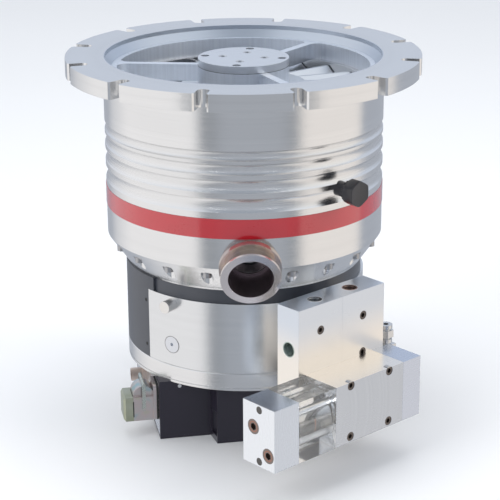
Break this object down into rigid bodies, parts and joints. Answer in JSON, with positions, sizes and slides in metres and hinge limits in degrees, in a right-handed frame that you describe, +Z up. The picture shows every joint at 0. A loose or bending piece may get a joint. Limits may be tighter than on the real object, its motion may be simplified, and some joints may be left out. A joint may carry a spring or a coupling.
{
  "type": "turbomolecular pump",
  "caption": "Turbomolecular vacuum pump with a slotted inlet flange, ribbed housing, tilted fore-vacuum port, electronics box and side oil pump.",
  "frame": {"origin": "on the rotor's axis at the foot of the electronics box", "axes": "+Z up along the rotor's axis to the inlet, -Y towards the fore-vacuum port, +X to the right of it"},
  "size_m": [0.335, 0.4172, 0.355],
  "materials": {
    "housing_metal": "satin turned",
    "band_red": "gloss",
    "seal_rubber": "matt",
    "bolt_steel": "satin",
    "port_metal": "turned",
    "base_black": "black anodised",
    "plate_metal": "satin turned",
    "jacket_metal": "satin",
    "star_metal": "satin milled",
    "rotor_metal": "satin milled",
    "shaft_steel": "ground",
    "magnet_dark": "ground",
    "drum_dark": "woven carbon fibre",
    "core_steel": "laminated",
    "winding_copper": "enamelled",
    "ball_ceramic": "polished",
    "cage_brown": "matt",
    "felt": "oiled felt",
    "valve_steel": "turned",
    "knob_black": "satin moulded",
    "box_black": "black anodised",
    "board_green": "solder mask",
    "panel_metal": "satin",
    "zinc": "cast",
    "cap_pale": "moulded",
    "lever_steel": "bright",
    "block_metal": "clear anodised",
    "clear_acrylic": "polished",
    "plug_bronze": "turned",
    "dowel_steel": "ground",
    "fitting_zinc": "bright zinc"
  },
  "bodies": {
    "pump": {"pump_housing": "housing_metal", "exhaust_housing": "housing_metal", "colour_band": "band_red", "housing_seal": "seal_rubber", "power_gasket": "seal_rubber", "housing_bolts": "bolt_steel", "hub_cover_screws": "bolt_steel", "block_screws": "bolt_steel", "small_screws": "bolt_steel", "foreline_port": "port_metal", "base_body": "base_black", "side_cover": "base_black", "base_plate": "plate_metal", "cooling_jacket": "jacket_metal", "jacket_plug": "jacket_metal", "jacket_pin": "jacket_metal", "bearing_star": "star_metal", "hub_cover": "star_metal", "stator_disc_1": "rotor_metal", "stator_disc_2": "rotor_metal", "stator_disc_3": "rotor_metal", "stator_disc_4": "rotor_metal", "spacer_rings": "rotor_metal", "drag_stator": "rotor_metal", "safety_bearing": "shaft_steel", "bearing_outer_ring": "shaft_steel", "stator_magnets": "magnet_dark", "motor_stator": "core_steel", "motor_windings": "winding_copper", "oil_felt": "felt", "vent_valve_body": "valve_steel", "electronics_housing": "box_black", "electronics_lid": "box_black", "circuit_board": "board_green", "connector_panel": "panel_metal", "power_housing": "zinc", "data_connector": "zinc", "power_cap": "cap_pale", "end_block": "block_metal", "fluid_pump_block": "block_metal", "rear_end_block": "block_metal", "manifold_left_block": "block_metal", "manifold_right_block": "block_metal", "manifold_pad": "block_metal", "reservoir": "clear_acrylic", "filler_plugs": "plug_bronze", "dowels": "dowel_steel", "elbow_fitting": "fitting_zinc"},
    "rotor": {"rotor": "rotor_metal", "rotor_shaft": "shaft_steel", "rotor_magnets": "magnet_dark", "drag_drum": "drum_dark", "motor_magnet": "magnet_dark", "bearing_inner_ring": "shaft_steel"},
    "ball_cage": {"bearing_cage": "cage_brown", "bearing_balls": "ball_ceramic"},
    "vent_stem": {"vent_stem": "valve_steel"},
    "vent_knob": {"vent_cap": "knob_black"},
    "lock_lever": {"locking_lever": "lever_steel"},
    "oil_piston": {"fluid_piston": "dowel_steel"}
  },
  "joints": [
    {"name": "rotor_spin", "type": "hinge", "parent": "pump", "child": "rotor", "pos_m": [0, 0, 0.083], "axis": [0, 0, 1], "continuous": true},
    {"name": "cage_spin", "type": "hinge", "parent": "pump", "child": "ball_cage", "pos_m": [0, 0, 0.083], "axis": [0, 0, 1], "continuous": true},
    {"name": "vent_slide", "type": "slide", "parent": "pump", "child": "vent_stem", "axis": [0.6293, -0.7771, 0], "range_m": [0, 0.002]},
    {"name": "vent_turn", "type": "hinge", "parent": "vent_stem", "child": "vent_knob", "pos_m": [0.0944, -0.11657, 0.2512], "axis": [0.6293, -0.7771, 0], "range_deg": [0, 721]},
    {"name": "lever_turn", "type": "hinge", "parent": "pump", "child": "lock_lever", "pos_m": [-0.102, -0.07187, 0.0295], "axis": [-0.1478, 0.989, 0], "range_deg": [-85, 0]},
    {"name": "piston_slide", "type": "slide", "parent": "pump", "child": "oil_piston", "axis": [0.766, 0.6428, 0], "range_m": [0, 0.003]}
  ],
  "couplings": [
    {"joint": "cage_spin", "follows": "rotor_spin", "ratio": 0.4014},
    {"joint": "vent_turn", "follows": "vent_slide", "rad_per_m": 6283.2}
  ]
}
